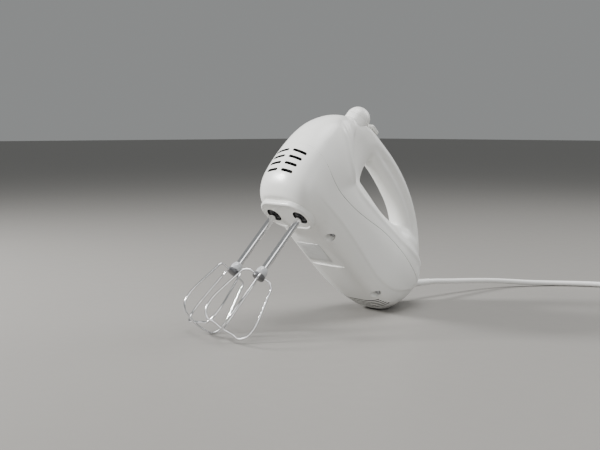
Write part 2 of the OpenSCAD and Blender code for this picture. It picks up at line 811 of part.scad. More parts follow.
// Route of the cord from there, relative to the tip's x and y, with heights above the worktop
cord_route = [
    [0, 0, relief_tip[2]], [0.3, 12, 18.5], [1.5, 30, 16.7], [3.5, 52, 14.7], [7, 82, 12.2],
    [12, 110, 9.6], [21, 135, 7], [36, 160, 4.6], [55, 185, 3.4], [78, 206, 3.3], [104, 223, 3.3],
    [134, 233, 3.3], [166, 235, 3.3], [198, 227, 3.3], [226, 211, 3.3], [244, 191, 3.3],
    [253.2, 171.6, 3.3]
];
// Middle of the coil, placed so that the route ends on its outer face
coil_place = [214, 149];

module cord_frame() {
    translate([relief_tip[0], relief_tip[1], 0]) children();
}
module power_cord() color([0.93, 0.93, 0.92])
    cord_frame() tube(curve(cord_route, 3), cord_r, [0, 0, 1], 10);

module cord_coil() color([0.93, 0.93, 0.92])
    cord_frame() translate([coil_place[0], coil_place[1], 0])
        rotate_extrude() translate([coil_r - 2 * cord_r, 0]) square([4 * cord_r, 4 * cord_r]);

module coil_tie() color([0.15, 0.15, 0.15])
    cord_frame() translate([coil_place[0], coil_place[1], 0]) rotate([0, 0, 300])
        translate([coil_r, 0, 2 * cord_r]) difference() {
            cube([4 * cord_r + 2.4, 6, 4 * cord_r + 0.01], center = true);
            cube([4 * cord_r + 0.02, 7, 4 * cord_r - 2.4], center = true);
        }

// Flat two-pin plug on the worktop beside the coil
plug_place = [253.2, 78];
module plug_frame() {
    cord_frame() translate([plug_place[0], plug_place[1], 7]) rotate([0, 0, 90]) children();
}
module plug_body() color([0.93, 0.93, 0.92]) plug_frame() {
    rotate([0, 90, 0]) linear_extrude(28) rounded_rect(14, 30, 5);
    translate([28, 0, 0]) rotate([0, 90, 0]) cylinder(r1 = 6, r2 = 4, h = 20);
}
module plug_pins() color([0.8, 0.8, 0.82]) plug_frame()
    for (y = [-9.3, 9.3]) translate([-19, y, 0]) rotate([0, 90, 0]) cylinder(r = 2, h = 19);

upper_housing();
lower_housing();
housing_screws();
rating_plate();
eject_button();
eject_rod();
eject_spring();
speed_slider();
speed_switch();
speed_board();
gearbox_frame();
gearbox_cover();
gearbox_screws();
lower_gear_bushes();
upper_gear_bushes();
left_gear();
right_gear();
left_ejector_pin();
right_ejector_pin();
left_beater_stem();
left_beater_collar();
left_beater_ring();
left_whisk_long();
left_whisk_short();
right_beater_stem();
right_beater_collar();
right_beater_ring();
right_whisk_long();
right_whisk_short();
motor_shaft();
worm();
armature_core();
armature_winding();
commutator();
fan();
nose_bearing();
front_bearing();
rear_bearing();
motor_stator();
field_coils();
rear_bracket();
motor_screws();
motor_pads();
brush_holders();
carbon_brushes();
brush_springs();
suppressor_capacitor();
terminal_block();
inner_leads();
cord_clamp();
strain_relief();
power_cord();
cord_coil();
coil_tie();
plug_body();
plug_pins();
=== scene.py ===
"""Hand mixer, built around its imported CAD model."""
import json
import math
import bpy
import numpy as np
from mathutils import Matrix, Vector
from mathutils.bvhtree import BVHTree


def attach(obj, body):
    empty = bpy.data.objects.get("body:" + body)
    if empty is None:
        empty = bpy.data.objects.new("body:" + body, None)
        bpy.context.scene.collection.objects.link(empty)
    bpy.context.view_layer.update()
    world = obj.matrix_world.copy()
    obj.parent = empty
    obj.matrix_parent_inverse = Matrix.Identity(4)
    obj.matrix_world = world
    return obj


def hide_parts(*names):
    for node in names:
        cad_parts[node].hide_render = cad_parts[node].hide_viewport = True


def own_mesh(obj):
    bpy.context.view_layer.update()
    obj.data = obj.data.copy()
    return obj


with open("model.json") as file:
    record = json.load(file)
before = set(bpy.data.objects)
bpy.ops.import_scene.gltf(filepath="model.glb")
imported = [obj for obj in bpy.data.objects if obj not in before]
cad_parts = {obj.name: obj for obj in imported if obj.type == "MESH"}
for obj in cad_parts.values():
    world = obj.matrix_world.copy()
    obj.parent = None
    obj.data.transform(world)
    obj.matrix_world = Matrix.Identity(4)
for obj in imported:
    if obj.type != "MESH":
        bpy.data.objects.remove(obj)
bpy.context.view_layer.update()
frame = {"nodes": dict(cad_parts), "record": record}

# ---- the mixer's own frame ------------------------------------------------------
# x to its left, y to its rear, z up along the beaters, in millimetres, origin in the
# middle of the socket face. place() gives the row frame in metres.
TILT = math.radians(45)
FACE = np.array([2.0, -43.5, 112.9])
TURN = np.array([
    [1, 0, 0],
    [0, math.cos(TILT), math.sin(TILT)],
    [0, -math.sin(TILT), math.cos(TILT)]])


def place(points):
    return (np.atleast_2d(points) @ TURN.T + FACE) / 1000


# ---- camera, lights and floor ---------------------------------------------------
AZIMUTH, ELEVATION = math.radians(48), math.radians(6.04)
back = Vector((math.sin(AZIMUTH) * math.cos(ELEVATION),
               -math.cos(AZIMUTH) * math.cos(ELEVATION), math.sin(ELEVATION)))
right = Vector((math.cos(AZIMUTH), math.sin(AZIMUTH), 0))
up = back.cross(right)
cam = bpy.data.cameras.new("camera")
cam.lens, cam.sensor_width = 54, 36
cam.clip_start, cam.clip_end = 0.02, 50
camera = bpy.data.objects.new("camera", cam)
axes = Matrix((right, up, back)).transposed().to_4x4()
camera.matrix_world = Matrix.Translation((0.7008, -0.6537, 0.2030)) @ axes
bpy.context.collection.objects.link(camera)
bpy.context.scene.camera = camera


def area_light(name, at, aim, size, power, colour=(1, 1, 1)):
    lamp = bpy.data.lights.new(name, "AREA")
    lamp.shape, lamp.size, lamp.energy, lamp.color = "DISK", size, power, colour
    obj = bpy.data.objects.new(name, lamp)
    obj.location = at
    obj.rotation_euler = (Vector(aim) - Vector(at)).to_track_quat("-Z", "Y").to_euler()
    bpy.context.collection.objects.link(obj)


area_light("key", (-1.0, -0.95, 0.85), (0, 0, 0.1), 0.35, 44)
area_light("top", (0.1, 0.15, 1.7), (0, 0, 0.1), 1.1, 24)
area_light("fill", (1.4, -0.6, 0.9), (0, 0, 0.12), 1.2, 9)
area_light("rim", (0.3, 1.5, 1.2), (0, 0, 0.15), 1.0, 12)
world = bpy.data.worlds.new("studio")
world.use_nodes = True
world.node_tree.nodes["Background"].inputs[0].default_value = (0.78, 0.80, 0.80, 1)
world.node_tree.nodes["Background"].inputs[1].default_value = 0.34
bpy.context.scene.world = world


# ---- materials ------------------------------------------------------------------
def material(name, colour, rough, metal=0.0, vary=0.03, rough_vary=0.05, scale=400,
             bump=0.05, bump_scale=900, coat=0.0, spec=0.5, stretch=(1, 1, 1)):
    """A surface whose colour, roughness and fine relief vary as a moulded or plated one does."""
    mat = bpy.data.materials.new(name)
    mat.use_nodes = True
    nodes, links = mat.node_tree.nodes, mat.node_tree.links
    shader = nodes["Principled BSDF"]
    shader.inputs["Metallic"].default_value = metal
    shader.inputs["Coat Weight"].default_value = coat
    shader.inputs["Coat Roughness"].default_value = 0.12
    shader.inputs["Specular IOR Level"].default_value = spec
    where = nodes.new("ShaderNodeTexCoord")
    mapping = nodes.new("ShaderNodeMapping")
    mapping.inputs["Scale"].default_value = stretch
    links.new(where.outputs["Object"], mapping.inputs["Vector"])

    def noise(size, detail):
        n = nodes.new("ShaderNodeTexNoise")
        n.inputs["Scale"].default_value = size
        n.inputs["Detail"].default_value = detail
        links.new(mapping.outputs["Vector"], n.inputs["Vector"])
        return n

    cloud = noise(scale / 20, 3)
    ramp = nodes.new("ShaderNodeMix")
    ramp.data_type = "RGBA"
    ramp.inputs[6].default_value = (*[c * (1 - vary) for c in colour], 1)
    ramp.inputs[7].default_value = (*[min(1, c * (1 + vary)) for c in colour], 1)
    links.new(cloud.outputs["Fac"], ramp.inputs[0])
    links.new(ramp.outputs[2], shader.inputs["Base Color"])
    grain = noise(scale, 4)
    spread = nodes.new("ShaderNodeMapRange")
    spread.inputs["To Min"].default_value = max(0.02, rough - rough_vary)
    spread.inputs["To Max"].default_value = rough + rough_vary
    links.new(grain.outputs["Fac"], spread.inputs["Value"])
    links.new(spread.outputs["Result"], shader.inputs["Roughness"])
    fine = noise(bump_scale, 3)
    relief = nodes.new("ShaderNodeBump")
    relief.inputs["Strength"].default_value = bump
    relief.inputs["Distance"].default_value = 0.0004
    links.new(fine.outputs["Fac"], relief.inputs["Height"])
    links.new(relief.outputs["Normal"], shader.inputs["Normal"])
    return mat


MAT = {
    "housing_white": material("housing_white", (0.86, 0.86, 0.83), 0.3, bump=0.04, vary=0.015, coat=0.12),
    "slider_white": material("slider_white", (0.74, 0.74, 0.71), 0.45, bump=0.08, vary=0.02),
    "label": material("label", (0.66, 0.67, 0.66), 0.3, metal=0.1, bump=0.03),
    "screw_steel": material("screw_steel", (0.52, 0.52, 0.54), 0.32, 1.0, bump=0.1),
    "beater_chrome": material("beater_chrome", (0.84, 0.84, 0.85), 0.13, 1.0, vary=0.04, rough_vary=0.05,
                              scale=250, bump=0.02, bump_scale=500),
    "collar_plastic": material("collar_plastic", (0.50, 0.51, 0.52), 0.22, vary=0.02, coat=0.3),
    "ring_dark": material("ring_dark", (0.10, 0.10, 0.105), 0.32, bump=0.08),
    "dark_plastic": material("dark_plastic", (0.03, 0.03, 0.034), 0.48, bump=0.1),
    "gearbox_alloy": material("gearbox_alloy", (0.60, 0.61, 0.63), 0.45, 1.0, bump=0.2, bump_scale=700),
    "bronze": material("bronze", (0.60, 0.42, 0.20), 0.4, 1.0, vary=0.08, bump=0.15),
    "steel": material("steel", (0.62, 0.62, 0.64), 0.25, 1.0, bump=0.05, stretch=(1, 6, 1)),
    "lamination": material("lamination", (0.22, 0.22, 0.24), 0.5, 0.8, bump=0.4, stretch=(0.1, 6, 6)),
    "copper": material("copper", (0.60, 0.25, 0.10), 0.35, 0.9, vary=0.12, bump=0.4, stretch=(1, 8, 1)),
    # painted shade: a near-black material that stands in for the unlit inside of the white housing
    "painted_shade_inside": material("painted_shade_inside", (0.02, 0.02, 0.021), 0.7, bump=0.1),
    "rubber": material("rubber", (0.02, 0.02, 0.02), 0.75, bump=0.15),
    "carbon": material("carbon", (0.015, 0.015, 0.016), 0.6, bump=0.2),
    "board": material("board", (0.04, 0.20, 0.07), 0.4, vary=0.1, bump=0.1),
    "capacitor": material("capacitor", (0.62, 0.42, 0.08), 0.3, vary=0.06, bump=0.05),
    "nylon": material("nylon", (0.72, 0.72, 0.68), 0.45, vary=0.03, bump=0.06),
    "lead": material("lead", (0.05, 0.12, 0.42), 0.4, vary=0.05, bump=0.05),
    "cord_white": material("cord_white", (0.80, 0.80, 0.78), 0.42, vary=0.02, bump=0.10, bump_scale=1400),
    "tie_dark": material("tie_dark", (0.02, 0.02, 0.02), 0.5, bump=0.15),
    "plug_metal": material("plug_metal", (0.76, 0.75, 0.72), 0.2, 1.0, bump=0.03),
}
slot_of = {s["node"]: s["material_slot"] for s in frame["record"]["subparts"]}
for name, obj in frame["nodes"].items():
    obj.data.materials.clear()
    obj.data.materials.append(MAT[slot_of[name]])

floor_mat = material("floor", (0.25, 0.24, 0.225), 0.5, vary=0.02, scale=60, bump=0.02, bump_scale=300)
bpy.ops.mesh.primitive_plane_add(size=30, location=(0, 0, -0.0003))
floor = bpy.context.object
floor.name = "floor"
floor.data.materials.append(floor_mat)


# ---- mesh helpers ---------------------------------------------------------------
def new_object(name, verts, faces):
    mesh = bpy.data.meshes.new(name)
    mesh.from_pydata([tuple(map(float, v)) for v in verts], [], [tuple(f) for f in faces])
    mesh.update()
    obj = bpy.data.objects.new(name, mesh)
    bpy.context.collection.objects.link(obj)
    return obj


def loft(rings):
    """Closed solid through rings of the same number of points."""
    n = len(rings[0])
    verts = [p for ring in rings for p in ring]
    faces = []
    for i in range(len(rings) - 1):
        for j in range(n):
            k = (j + 1) % n
            faces.append((i * n + j, i * n + k, (i + 1) * n + k, (i + 1) * n + j))
    faces.append(tuple(range(n - 1, -1, -1)))
    faces.append(tuple((len(rings) - 1) * n + j for j in range(n)))
    return verts, faces


def merge(*parts):
    verts, faces = [], []
    for v, f in parts:
        faces += [tuple(i + len(verts) for i in face) for face in f]
        verts += list(v)
    return verts, faces


def curve(points, steps):
    """Smooth curve through points, as in the CAD model."""
    p = np.array(points, float)
    out = []
    for i in range(len(p) - 1):
        a, b = p[max(i - 1, 0)], p[i]
        c, d = p[i + 1], p[min(i + 2, len(p) - 1)]
        for k in range(steps):
            t = k / steps
            out.append(0.5 * (2 * b + (c - a) * t + (2 * a - 5 * b + 4 * c - d) * t ** 2
                              + (3 * b - a - 3 * c + d) * t ** 3))
    out.append(p[-1])
    return np.array(out)


def sweep(path, radius, up_hint, sides=16):
    """Round tube along a path. radius is a number or one for each point."""
    path = np.array(path, float)
    r = np.broadcast_to(np.array(radius, float), (len(path),))
    rings = []
    for i, p in enumerate(path):
        t = path[min(i + 1, len(path) - 1)] - path[max(i - 1, 0)]
        t = t / np.linalg.norm(t)
        b = np.array(up_hint, float) - np.dot(up_hint, t) * t
        b /= np.linalg.norm(b)
        a = np.cross(t, b)
        rings.append([p + r[i] * (math.cos(q) * a + math.sin(q) * b)
                      for q in np.linspace(0, 2 * math.pi, sides, endpoint=False)])
    return loft(rings)


def moved(mesh, offset):
    """The mesh shifted by offset, without a turn."""
    return turned(mesh, np.eye(3), offset)


def lathe(profile, sides=64, at=(0, 0)):
    """Solid of revolution about z from (radius, z) pairs, bottom to top."""
    rings = []
    for r, z in profile:
        rings.append([(at[0] + max(r, 1e-3) * math.cos(a), at[1] + max(r, 1e-3) * math.sin(a), z)
                      for a in np.linspace(0, 2 * math.pi, sides, endpoint=False)])
    return loft(rings)


def turned(part, matrix, shift=(0, 0, 0)):
    """A part with its points turned by a 3x3 matrix, then moved."""
    return [np.array(matrix) @ np.array(v, float) + np.array(shift, float) for v in part[0]], part[1]


def rounded_outline(w, h, r, n=6):
    pts = []
    for cx, cy, a0 in ((1, 1, 0), (-1, 1, 90), (-1, -1, 180), (1, -1, 270)):
        for a in np.linspace(a0, a0 + 90, n + 1):
            pts.append((cx * (w / 2 - r) + r * math.cos(math.radians(a)),
                        cy * (h / 2 - r) + r * math.sin(math.radians(a))))
    return pts


def prism(outline, z0, z1):
    return loft([[(x, y, z0) for x, y in outline], [(x, y, z1) for x, y in outline]])


def soft_slab(w, h, r, z0, z1, edge=0.6):
    """Rounded slab with softened top and bottom edges."""
    rings = []
    for z, inset in ((z0, edge), (z0 + 0.3 * edge, 0.3 * edge), (z0 + edge, 0),
                     (z1 - edge, 0), (z1 - 0.3 * edge, 0.3 * edge), (z1, edge)):
        outline = rounded_outline(w - 2 * inset, h - 2 * inset, max(r - inset, 0.2))
        rings.append([(x, y, z) for x, y in outline])
    return loft(rings)


def evaluated(obj):
    """The object's mesh with its modifiers applied, as points and faces; removes the object."""
    deps = bpy.context.evaluated_depsgraph_get()
    mesh = bpy.data.meshes.new_from_object(obj.evaluated_get(deps))
    v = np.empty(len(mesh.vertices) * 3)
    mesh.vertices.foreach_get("co", v)
    faces = [tuple(p.vertices) for p in mesh.polygons]
    bpy.data.objects.remove(obj)
    bpy.data.meshes.remove(mesh)
    return v.reshape(-1, 3), faces


def fuse(part, voxel, smooth):
    """One skin round overlapping solids, with its inner corners filled smoothly."""
    obj = new_object("fuse", *part)
    m = obj.modifiers.new("r", "REMESH")
    m.mode, m.voxel_size = "VOXEL", voxel
    s = obj.modifiers.new("s", "SMOOTH")
    s.factor, s.iterations = 0.5, smooth
    return evaluated(obj)


def boolean(part, tool, how):
    a, b = new_object("a", *part), new_object("b", *tool)
    m = a.modifiers.new("b", "BOOLEAN")
    m.operation, m.object, m.solver = how, b, "MANIFOLD"
    out = evaluated(a)
    bpy.data.objects.remove(b)
    return out


def finished(name, part, slot_name, body, *nodes, sharp=35, world_points=False):
    """Puts a part of the mixer in place, with its material, body and the nodes it stands for."""
    verts = np.array([np.array(v, float) for v in part[0]])
    obj = new_object(name, verts / 1000 if world_points else place(verts), part[1])
    obj.data.materials.append(MAT[slot_name])
    obj.data.polygons.foreach_set("use_smooth", [True] * len(obj.data.polygons))
    obj.data.set_sharp_from_angle(angle=math.radians(sharp))
    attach(obj, body)
    if nodes:
        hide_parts(*nodes)
    return obj


# ---- housing --------------------------------------------------------------------
HALF, WALL, TAIL_START, TAIL_END = 42, 2.5, 122, 200
BODY = [
    [-5, 5, 38, 91, 5], [20, 5, 38, 91, 5], [50, 2.5, 38, 91, 5], [90, 2, 38, 91, 5],
    [120, 2.5, 38, 97, 4.6], [140, 4, 40, 108, 4], [155, 6.5, 43, 110, 3.5], [165, 9.2, 46, 107, 3.2],
    [173, 13.4, 50, 102, 3], [180, 20.5, 54, 97, 2.8], [186, 30, 58, 93, 2.6], [191, 41, 62, 89, 2.5],
    [195, 51, 66, 86, 2.4], [198.5, 61, 71, 81, 2.4]]
BEATER_X = 20.2
NOSE = [
    [5, -27, 30, 35], [9, -32, 36, 38.5], [15, -37, 36, 40.5], [25, -41.5, 36, 42], [39, -44, 36, 42],
    [57, -45, 36, 42], [70, -45, 36, 41], [84, -44, 26, 38], [98, -41, 12, 33], [110, -36, 4, 27],
    [121, -29, 2, 20], [130, -19, 2, 13], [136, -9, 0, 6]]
PILLAR = [
    [78, -10, 58, 27], [90, -12, 47, 21], [105, -14, 42, 18], [118, -16, 42, 16.5],
    [130, -14, 46, 16], [142, -10, 54, 14]]
HANDLE = [
    [0, 131, 4, 14, 12], [20, 134.5, 2, 15, 14.5], [45, 136, 0, 15, 15], [70, 136, -3, 15.2, 15.2],
    [95, 133, -11, 15, 15.4], [118, 127, -20, 14.2, 15.6], [138, 117.5, -32, 14.5, 16],
    [154, 105, -44, 16, 17], [167, 90, -56, 18, 18.5], [175, 75, -66, 19, 20]]
SEAM = [
    [-60, 67], [-45, 63.5], [-30, 57], [-12, 48.6], [5, 45.4], [22, 45.8], [41, 48.5], [61, 53.4],
    [86, 60.6], [108, 64.3], [129, 65], [150, 64.5], [186, 65], [220, 66]]
ANGLES = np.linspace(0, 2 * math.pi, 112, endpoint=False)


def power(v, e):
    return math.copysign(abs(v) ** e, v)


def half_width(y):
    if y <= TAIL_START:
        return HALF
    return HALF * max(1e-6, 1 - ((y - TAIL_START) / (TAIL_END - TAIL_START)) ** 2.2) ** (1 / 2.2)


def body_rings(skin, end):
    rings = []
    for y, low, mid, high, n in curve(BODY[:end], 5):
        ring = []
        for a in ANGLES:
            e = n if math.sin(a) < 0 else 2.2
            h = (mid - low if math.sin(a) < 0 else high - mid) - skin
            ring.append(((half_width(y) - skin) * power(math.cos(a), 2 / e), y,
                         mid + h * power(math.sin(a), 2 / e)))
        rings.append(ring)
    return rings


def plan_rings(stations, skin, n, lift=None):
    rings = []
    for z, front, rear, half in curve(stations, 5):
        mid, deep = (front + rear) / 2, (rear - front) / 2 - skin
        zz = z if lift is None else max(z, lift)
        rings.append([((half - skin) * power(math.cos(a), 2 / n),
                       mid - deep * power(math.sin(a), 2 / n), zz) for a in ANGLES])
    return rings


def handle_rings(skin):
    rings = []
    for y, z, slope, thick, half in curve(HANDLE, 5):
        s = math.radians(slope)
        ring = []
        for a in ANGLES:
            u = (thick - skin) * power(math.sin(a), 2 / 2.2)
            ring.append(((half - skin) * power(math.cos(a), 2 / 2.2),
                         y - u * math.sin(s), z + u * math.cos(s)))
        rings.append(ring)
    return rings


def oval(a, b, z, n=24):
    """Outline of two half circles b in radius joined by straights, a long each way."""
    pts = []
    for k in range(2 * n + 2):
        side = 1 if k <= n else -1
        ang = -math.pi / 2 + math.pi * (k if side > 0 else k - n - 1) / n
        pts.append((side * (a - b) + side * b * math.cos(ang), side * b * math.sin(ang) - 1, z))
    return pts


outer = fuse(
    turned(merge(loft(body_rings(0, len(BODY))), loft(plan_rings(NOSE, 0, 2.5)),
                 loft(plan_rings(PILLAR, 0, 2.5)), loft(handle_rings(0))),
           np.eye(3) * 0.001), 0.00115, 22)
inner = fuse(
    turned(merge(loft(body_rings(WALL, len(BODY) - 1)), loft(plan_rings(NOSE[:-1], WALL, 2.5, 7.5)),
                 loft(plan_rings(PILLAR, WALL, 2.5)), loft(handle_rings(WALL))),
           np.eye(3) * 0.001), 0.0018, 3)


def line_distance(points, line):
    """Signed distance of (y, z) points from a polyline, positive above it."""
    best = np.full(len(points), 1e9)
    sign = np.ones(len(points))
    for a, b in zip(line[:-1], line[1:]):
        d = b - a
        t = np.clip(((points - a) @ d) / (d @ d), 0, 1)
        off = points - (a + t[:, None] * d)
        dist = np.linalg.norm(off, axis=1)
        closer = dist < best
        best = np.where(closer, dist, best)
        sign = np.where(closer, np.sign(d[0] * off[:, 1] - d[1] * off[:, 0]), sign)
    return best * sign


# Modelled relief of the sides: a flat panel with a crease under it, a soft ridge that runs
# from the knob down and back above the part line, and a finger hollow along the handle.
# Both skins take it, so that the wall keeps its thickness.
CREASE = curve([[-30, 24], [-10, 23.5], [30, 25], [62, 23.5], [95, 20.5], [118, 19.5], [140, 24],
                [155, 31.5], [167, 41], [178, 50], [190, 62]], 6)
RIDGE = curve([[-31, 104], [-20, 98], [-8, 88], [3, 80], [17, 73.5], [32, 69.5], [55, 70.5], [90, 74],
               [120, 77], [150, 80], [175, 84]], 6)
HANDLE_LINE = curve([[h[0], h[1]] for h in HANDLE], 6)


def relief_of_sides(mesh):
    v = mesh[0] * 1000
    yz = v[:, 1:]
    side = np.clip((np.abs(v[:, 0]) - 14) / 8, 0, 1)
    under = np.clip(-line_distance(yz, CREASE), 0, 30)
    push = (-0.9 * np.clip(under / 1.5, 0, 1) - 0.12 * under) * np.clip((v[:, 1] + 15) / 35, 0, 1)
    ridge = line_distance(yz, RIDGE)
    bead = 1.5 * np.exp(-(ridge / 3.6) ** 2) - 1.6 * np.exp(-((ridge - 9) / 5) ** 2)
    bead *= np.clip((yz[:, 1] - 55) / 8, 0, 1) * np.clip((v[:, 1] + 32) / 10, 0, 1)
    grip = np.where(v[:, 2] + 0.25 * v[:, 1] > 118, 1.0, 0.0) * np.clip((v[:, 1] - 30) / 25, 0, 1)
    grip *= np.clip((170 - v[:, 1]) / 25, 0, 1) * np.clip((np.abs(v[:, 0]) - 8) / 5, 0, 1)
    hollow = -3.0 * np.exp(-((line_distance(yz, HANDLE_LINE) + 1) / 4.5) ** 2) * grip
    v[:, 0] += np.sign(v[:, 0]) * (side * (push + bead) + hollow)
    obj = new_object("soften", v / 1000, mesh[1])
    soften = obj.modifiers.new("soften", "SMOOTH")
    soften.factor, soften.iterations = 0.5, 2
    points, faces = evaluated(obj)
    return points * 1000, faces


outer = relief_of_sides(outer)
inner = relief_of_sides(inner)
# Oval pad round the two sockets, with a rounded rim and a shallow face inside it
pad = loft([oval(31.4, 16.4, 1.1), oval(31.9, 16.9, 0.5), oval(32.6, 17.6, 0.05), oval(33.4, 18.4, 0),
            oval(34.4, 19.4, 0.5), oval(34.9, 19.9, 1.3), oval(35, 20, 2.2), oval(35, 20, 9.5)])
outer = boolean(outer, pad, "UNION")

# Screws: their sideways place, and where each pair is along the body and how high it reaches
SCREW_X, SCREW_SEAT = 32, 14
SCREWS = [(37, 66), (134, 74)]
EXIT_Y, EXIT_Z = 194.5, 65.5
DIP = math.radians(3)
posts = merge(*[lathe([(6.5, -2), (6.5, 16), (4, 16.01), (4, 92)], 32, (s * SCREW_X, y))
                for y, _ in SCREWS for s in (-1, 1)])
inner = boolean(inner, posts, "DIFFERENCE")
shell = boolean(outer, inner, "DIFFERENCE")


lean = TILT - math.pi / 2 - DIP
ALONG_EXIT = [[1, 0, 0], [0, math.cos(lean), -math.sin(lean)], [0, math.sin(lean), math.cos(lean)]]


def way(r, a, b, sides=40):
    """Cylinder along the cord's exit."""
    return turned(lathe([(r, a), (r, b)], sides), ALONG_EXIT, (0, EXIT_Y, EXIT_Z))


def slot_cut(x0, x1, z, h, bow):
    """Long rounded air slot, cut from the front, whose outer end dips."""
    rings = []
    for y in (-30, -60):
        pts = []
        for k in range(24):
            a = 2 * math.pi * k / 24
            e = x1 - h / 2 if math.cos(a) > 0 else x0 + h / 2
            x = e + h / 2 * math.cos(a)
            pts.append((x, y, z + h / 2 * math.sin(a) - bow * ((abs(x) - 3) / 20) ** 2))
        rings.append(pts)
    return loft(rings)


cuts = [lathe([(8.8, -1), (8.8, 11)], 64, (s * BEATER_X, 0)) for s in (-1, 1)]
cuts.append(lathe([(14.1, 122), (14.1, 184)], 96, (0, 2)))
cuts.append(moved(prism(rounded_outline(6, 29, 1.5), 142, 164), (0, 36.5, 0)))
cuts.append(way(5.5, -20, 20))
for y, top in SCREWS:
    for s in (-1, 1):
        cuts.append(lathe([(5.3, -10), (5.0, 14), (1.6, 14.01), (1.6, top + 1)], 40, (s * SCREW_X, y)))
for z, w, bow in ((54.3, 23, 3.2), (45.8, 21.8, 2.8), (37.2, 20.3, 2.5), (28.6, 19.2, 2.1)):
    cuts.append(slot_cut(3, w, z, 3.3, bow))
    mirrored = slot_cut(3, w, z, 3.3, bow)
    cuts.append(([(-x, y, zz) for x, y, zz in mirrored[0]], [tuple(reversed(f)) for f in mirrored[1]]))
LOUVRE_START, LOUVRE_STEP = 145, 4
for i in range(5):
    cuts.append(moved(prism(rounded_outline(60, 1.6, 0.78), -18, 18), (0, LOUVRE_START + LOUVRE_STEP * i, 0)))
cuts.append(moved(prism(rounded_outline(60, 56, 3), -2, 3.2), (0, 54, 0)))
shell = boolean(shell, merge(*cuts), "DIFFERENCE")


def below(offset):
    """Everything under the part line, moved up by offset."""
    line = curve(SEAM, 4)
    pts = [(-60, -20)]
    pts += [(y, z + offset * min(1, max(0.08, (y + 26) / 16))) for y, z in line]
    pts += [(220, -20)]
    rings = [[(x, y, z) for y, z in pts] for x in (60, -60)]
    return loft(rings)


lower = boolean(shell, below(-0.3), "INTERSECT")
upper = boolean(shell, below(0.3), "DIFFERENCE")
lower_obj = finished("lower_shell", lower, "housing_white", "housing", "lower_housing", sharp=38)
upper_obj = finished("upper_shell", upper, "housing_white", "housing", "upper_housing", sharp=38)
# The inside of the mouldings gets no light, so its faces take painted shade: a near-black material, from the
# mouth of an air slot inwards; the walls of the screw recesses keep the housing's white
VENT_LIP, INNER_DEPTH = 0.00025, 0.0019
skin = BVHTree.FromPolygons([tuple(q) for q in place(outer[0])], outer[1])
for obj in (lower_obj, upper_obj):
    obj.data.materials.append(MAT["painted_shade_inside"])
    for face in obj.data.polygons:
        c = face.center
        dy, dz = c.y * 1000 - FACE[1], c.z * 1000 - FACE[2]
        x = c.x * 1000 - FACE[0]
        y = dy * math.cos(TILT) - dz * math.sin(TILT)
        z = dy * math.sin(TILT) + dz * math.cos(TILT)
        recess = z < SCREW_SEAT + 0.3 and any(math.hypot(abs(x) - SCREW_X, y - at) < 5.6 for at, _ in SCREWS)
        vent = (y < -20 and 20 < z < 62) or (y > 142 and z < 30 and abs(x) < 31)
        # faces deeper than the threshold below the outer skin take the painted shade material
        if not recess and skin.find_nearest(c)[3] > (VENT_LIP if vent else INNER_DEPTH):
            face.material_index = 1

# ---- knob, slider, label, screws ------------------------------------------------
BUTTON_Y, BUTTON_Z, BUTTON_R = 2, 146, 13.5
dome = [(BUTTON_R * math.cos(a), BUTTON_Z + BUTTON_R * math.sin(a)) for a in np.linspace(0, 1.36, 22)]
dome += [(BUTTON_R * 0.18, BUTTON_Z + BUTTON_R * 0.984), (BUTTON_R * 0.08, BUTTON_Z + BUTTON_R * 0.99)]
# A fine groove runs round the knob just under its dome
groove = [(BUTTON_R, 143.2), (BUTTON_R - 0.35, 143.5), (BUTTON_R, 143.8)]
knob = lathe([(10.9, 128), (11.2, 127.9), (BUTTON_R, 128)] + groove + dome, 96, (0, BUTTON_Y))
cup = lathe([(11, 120), (11, BUTTON_Z), (3.5, 146.01), (3.5, 151.9)], 64, (0, BUTTON_Y))
knob = boolean(knob, cup, "DIFFERENCE")
finished("eject_knob", knob, "housing_white", "eject", "eject_button", sharp=30)

# Return spring in the knob's cup, drawn at one fixed length
SPRING_FOOT, SPRING_TOP, SPRING_R, SPRING_WIRE = 116, BUTTON_Z, 7, 0.7
SPRING_TURNS, PRESS = 6, 5
steps = np.linspace(0, 1, SPRING_TURNS * 24 + 1)
coil = [(SPRING_R * math.cos(2 * math.pi * SPRING_TURNS * t),
         BUTTON_Y + SPRING_R * math.sin(2 * math.pi * SPRING_TURNS * t),
         SPRING_FOOT + SPRING_WIRE + (SPRING_TOP - SPRING_FOOT - 2 * SPRING_WIRE) * t) for t in steps]
spring = finished("return_spring", sweep(coil, SPRING_WIRE, (0, 0, 1), 10), "steel", "housing",
                  "eject_spring")
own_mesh(spring)

SLIDER_Z = 151.4
grip_top = soft_slab(13, 14, 3, SLIDER_Z, SLIDER_Z + 3.8, 0.9)
ribs = merge(*[moved(prism(rounded_outline(15, 0.9, 0.4), 3.1, 6), (0, 2.6 - 7 + 2.2 * i, SLIDER_Z - 0.3))
               for i in range(5)])
cap = boolean(grip_top, ribs, "DIFFERENCE")
foot = soft_slab(4.8, 5, 0.8, 140.8, SLIDER_Z + 0.8, 0.3)
cap = boolean(cap, foot, "UNION")
finished("slider_cap", moved(cap, (0, 26, 0)), "slider_white", "speed_slider", "speed_slider", sharp=30)

plate = soft_slab(36, 30, 2, 2.8, 3.2, 0.12)
lines = merge(*[moved(prism(rounded_outline(26 - 6 * (i % 2), 0.5, 0.2), 2.7, 2.86),
                      (-3 * (i % 2), -9 + 4.5 * i, 0)) for i in range(5)])
plate = boolean(plate, lines, "DIFFERENCE")
finished("label_plate", moved(plate, (-6, 61, 0)), "label", "housing", "rating_plate", sharp=30)

